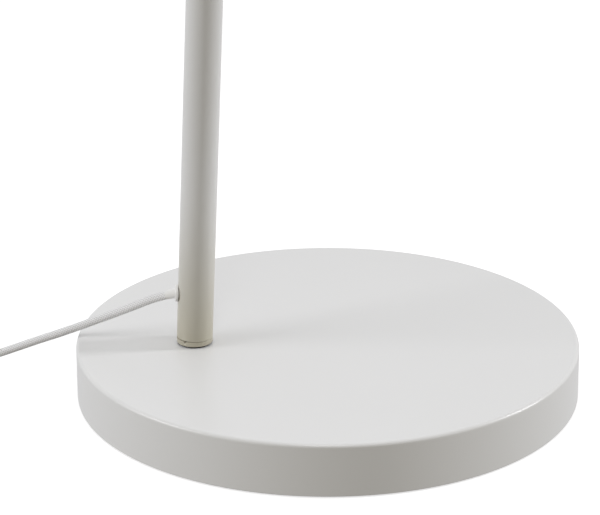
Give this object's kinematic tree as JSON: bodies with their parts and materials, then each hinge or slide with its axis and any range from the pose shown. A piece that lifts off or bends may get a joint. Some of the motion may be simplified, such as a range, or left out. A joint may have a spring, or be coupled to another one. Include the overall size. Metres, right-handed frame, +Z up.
{
  "type": "arc floor lamp",
  "caption": "Arc floor lamp: round weighted disc base, raked pole with half-round arc, tilting and swivelling dome shade, corded with foot switch.",
  "frame": {"origin": "centre of the round base's underside, on the floor", "axes": "+Z up; +X from the pole across the base, the way the arc reaches; +Y to the back"},
  "size_m": [1.2038, 0.35, 1.7589],
  "materials": {
    "paint": "satin warm light-grey powder coat",
    "iron": "as cast, black primed",
    "steel": "zinc plated",
    "black_steel": "black oxide",
    "felt": "pressed felt",
    "white_plastic": "moulded, fine satin",
    "button_plastic": "moulded, satin",
    "black_plastic": "moulded thermoplastic",
    "tie_rubber": "soft rubber strap",
    "porcelain": "unglazed",
    "brass": "bright",
    "nickel": "nickel plated",
    "opal": "opal white glass",
    "braid": "fine white textile braid over a two-core flex"
  },
  "bodies": {
    "root": {"base_cover": "paint", "base_weight": "iron", "base_plate": "steel", "plate_screws": "steel", "felt_pad": "felt", "pole_bolt": "steel", "bolt_washer": "steel", "lock_washer": "steel", "key_pin": "steel", "pole_collar": "paint", "pole_insert": "steel", "lower_pole": "paint", "middle_pole": "paint", "lower_joiner": "steel", "upper_joiner": "steel", "joiner_screws": "black_steel", "arc_tube": "paint", "cord_gland": "white_plastic", "cord_clamp": "white_plastic", "inner_flex": "braid", "end_insert": "steel", "cord_lead": "braid", "switch_base": "white_plastic", "switch_cover": "white_plastic", "switch_spring": "steel", "switch_block": "black_plastic", "switch_screws": "steel", "switch_reliefs": "white_plastic", "cord_run": "braid", "cord_coil": "braid", "cord_tie": "tie_rubber", "cord_tail": "braid", "plug_relief": "white_plastic", "plug_body": "white_plastic", "plug_pins": "nickel"},
    "swivel": {"swivel_fork": "paint", "swivel_washer": "white_plastic", "swivel_clip": "steel", "stop_pin": "steel", "knuckle_flex": "braid"},
    "head": {"head_knuckle": "paint", "pivot_screws": "steel", "pivot_washers": "white_plastic", "spring_washers": "steel", "holder_flex": "braid", "holder_cup": "paint", "nipple_nut": "steel", "holder_cap": "black_plastic", "holder_body": "black_plastic", "terminal_block": "porcelain", "terminal_screws": "brass", "thread_sleeve": "brass", "centre_contact": "brass", "shade": "paint", "shade_ring": "black_plastic", "bulb_cap": "nickel", "bulb_collar": "white_plastic", "bulb_globe": "opal"},
    "button": {"switch_button": "button_plastic"}
  },
  "joints": [
    {"name": "head_swivel", "type": "hinge", "parent": "root", "child": "swivel", "pos_m": [0.64574, 0, 1.36155], "axis": [0.0436, 0, 0.999], "range_deg": [-160, 160]},
    {"name": "head_tilt", "type": "hinge", "parent": "swivel", "child": "head", "pos_m": [0.64484, 0, 1.34107], "axis": [0, 1, 0], "range_deg": [-40, 40]},
    {"name": "switch_press", "type": "slide", "parent": "root", "child": "button", "axis": [0, 0, -1], "range_m": [0, 0.0025], "stiffness_N_per_m": 900, "springref_m": -0.0015, "deforming": ["switch_spring"]}
  ]
}
